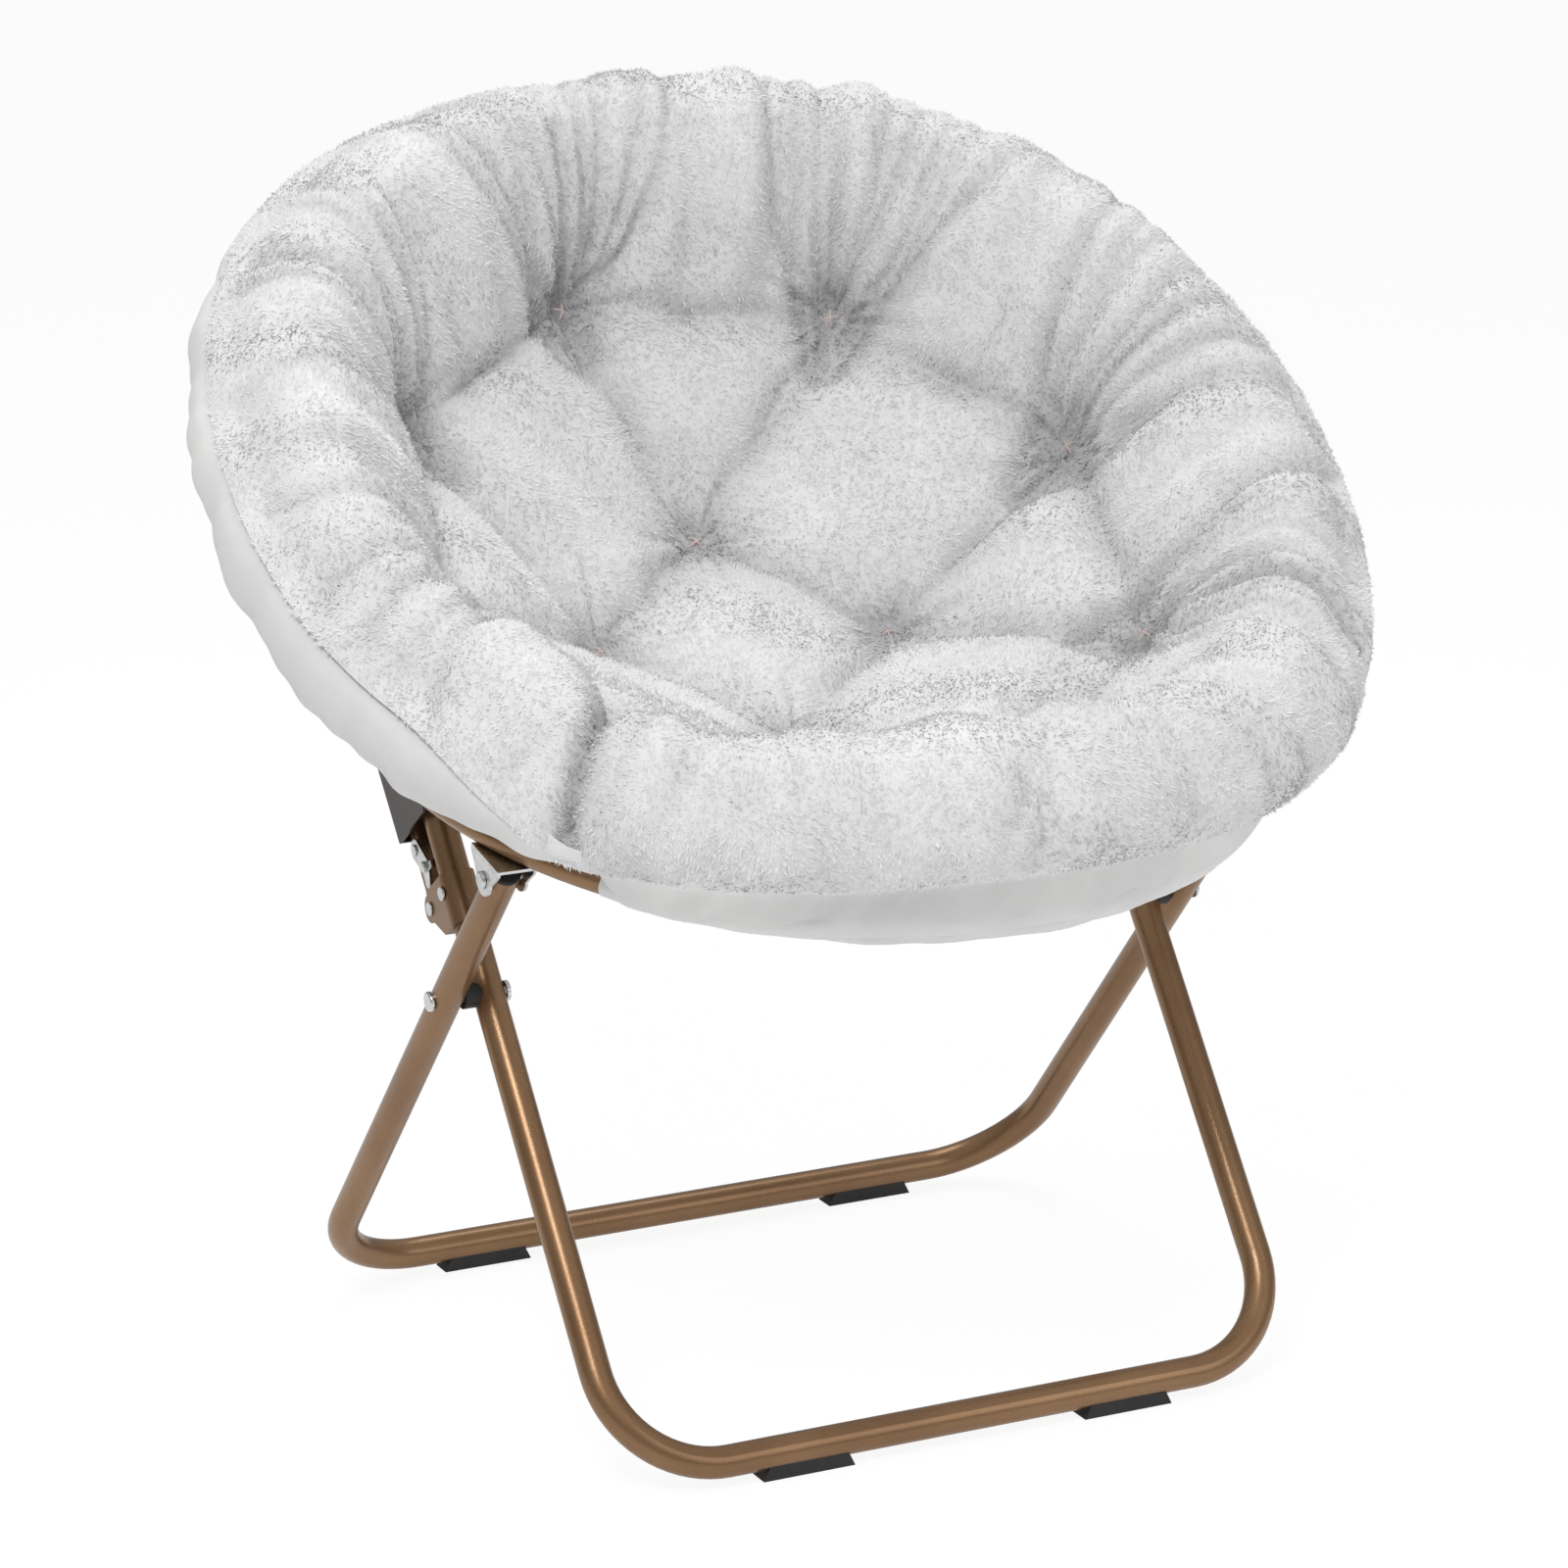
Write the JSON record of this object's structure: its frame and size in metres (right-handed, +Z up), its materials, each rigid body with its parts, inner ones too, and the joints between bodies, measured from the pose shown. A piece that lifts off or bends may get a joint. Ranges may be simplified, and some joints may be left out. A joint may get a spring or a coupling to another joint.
{
  "type": "folding saucer chair",
  "caption": "Folding saucer chair with a round tufted plush seat in a pair of tube hoops on crossed bronze tube legs.",
  "frame": {"origin": "centre of the bounding box at floor level", "axes": "X across the seat, -Y to the front of the chair, +Z up"},
  "size_m": [0.8368, 0.7524, 0.8374],
  "materials": {
    "bronze_paint": "bronze-brown metallic paint, satin",
    "dark_bronze": "dark brown paint, satin",
    "zinc": "bright zinc plate",
    "black_plastic": "moulded black plastic",
    "shell_fabric": "pale grey-white woven polyester",
    "plush": "white short plush"
  },
  "bodies": {
    "front_leg": {"front_leg_frame": "bronze_paint", "front_leg_plugs": "black_plastic", "front_floor_pads": "black_plastic", "scissor_rivets": "zinc", "scissor_spacers": "black_plastic", "clamp_plate_left": "bronze_paint", "clamp_plate_right": "bronze_paint", "clamp_rivets": "zinc", "clamp_leg_rivets": "zinc"},
    "rear_leg": {"rear_leg_frame": "bronze_paint", "rear_leg_plugs": "black_plastic", "rear_floor_pads": "black_plastic", "saddle_rivets": "zinc"},
    "front_hoop_body": {"front_hoop": "bronze_paint", "saddle_bracket_left": "zinc", "saddle_bracket_right": "zinc", "front_sleeve": "shell_fabric", "under_cover_front": "shell_fabric", "hoop_hinge_pins": "zinc"},
    "rear_hoop_body": {"rear_hoop": "bronze_paint", "hinge_washers": "black_plastic", "rear_sleeve": "shell_fabric", "under_cover_rear": "shell_fabric", "rear_bracket_left": "dark_bronze", "rear_bracket_right": "dark_bronze", "bracket_pins": "zinc", "seat_cushion": "plush"},
    "lock_links": {"lock_link_left": "bronze_paint", "lock_link_right": "bronze_paint", "latch_rivets": "zinc"},
    "latch_left_body": {"latch_left": "zinc", "latch_stud_left": "zinc"},
    "latch_right_body": {"latch_right": "zinc", "latch_stud_right": "zinc"}
  },
  "joints": [
    {"name": "leg_fold", "type": "hinge", "parent": "front_leg", "child": "rear_leg", "pos_m": [0, -0.0383, 0.2914], "axis": [-1, 0, 0], "range_deg": [0, 44]},
    {"name": "saddle_fold", "type": "hinge", "parent": "rear_leg", "child": "front_hoop_body", "pos_m": [0, -0.1379, 0.40356], "axis": [-1, 0, 0], "range_deg": [0, 59.3]},
    {"name": "hoop_fold", "type": "hinge", "parent": "front_hoop_body", "child": "rear_hoop_body", "pos_m": [0, -0.0233, 0.455], "axis": [1, 0, 0], "range_deg": [0, 99.48], "deforming": ["seat_cushion"]},
    {"name": "link_fold", "type": "hinge", "parent": "front_leg", "child": "lock_links", "pos_m": [0, 0.02903, 0.33407], "axis": [-1, 0, 0], "range_deg": [0, 91.83]},
    {"name": "latch_left_turn", "type": "hinge", "parent": "lock_links", "child": "latch_left_body", "pos_m": [0, 0.05681, 0.3682], "axis": [1, 0, 0], "range_deg": [0, 22]},
    {"name": "latch_right_turn", "type": "hinge", "parent": "lock_links", "child": "latch_right_body", "pos_m": [0, 0.05681, 0.3682], "axis": [1, 0, 0], "range_deg": [0, 22]}
  ],
  "couplings": [
    {"joint": "saddle_fold", "follows": "leg_fold", "ratio": 1.3478},
    {"joint": "hoop_fold", "follows": "leg_fold", "ratio": 2.2609},
    {"joint": "link_fold", "follows": "leg_fold", "ratio": 2.087}
  ]
}
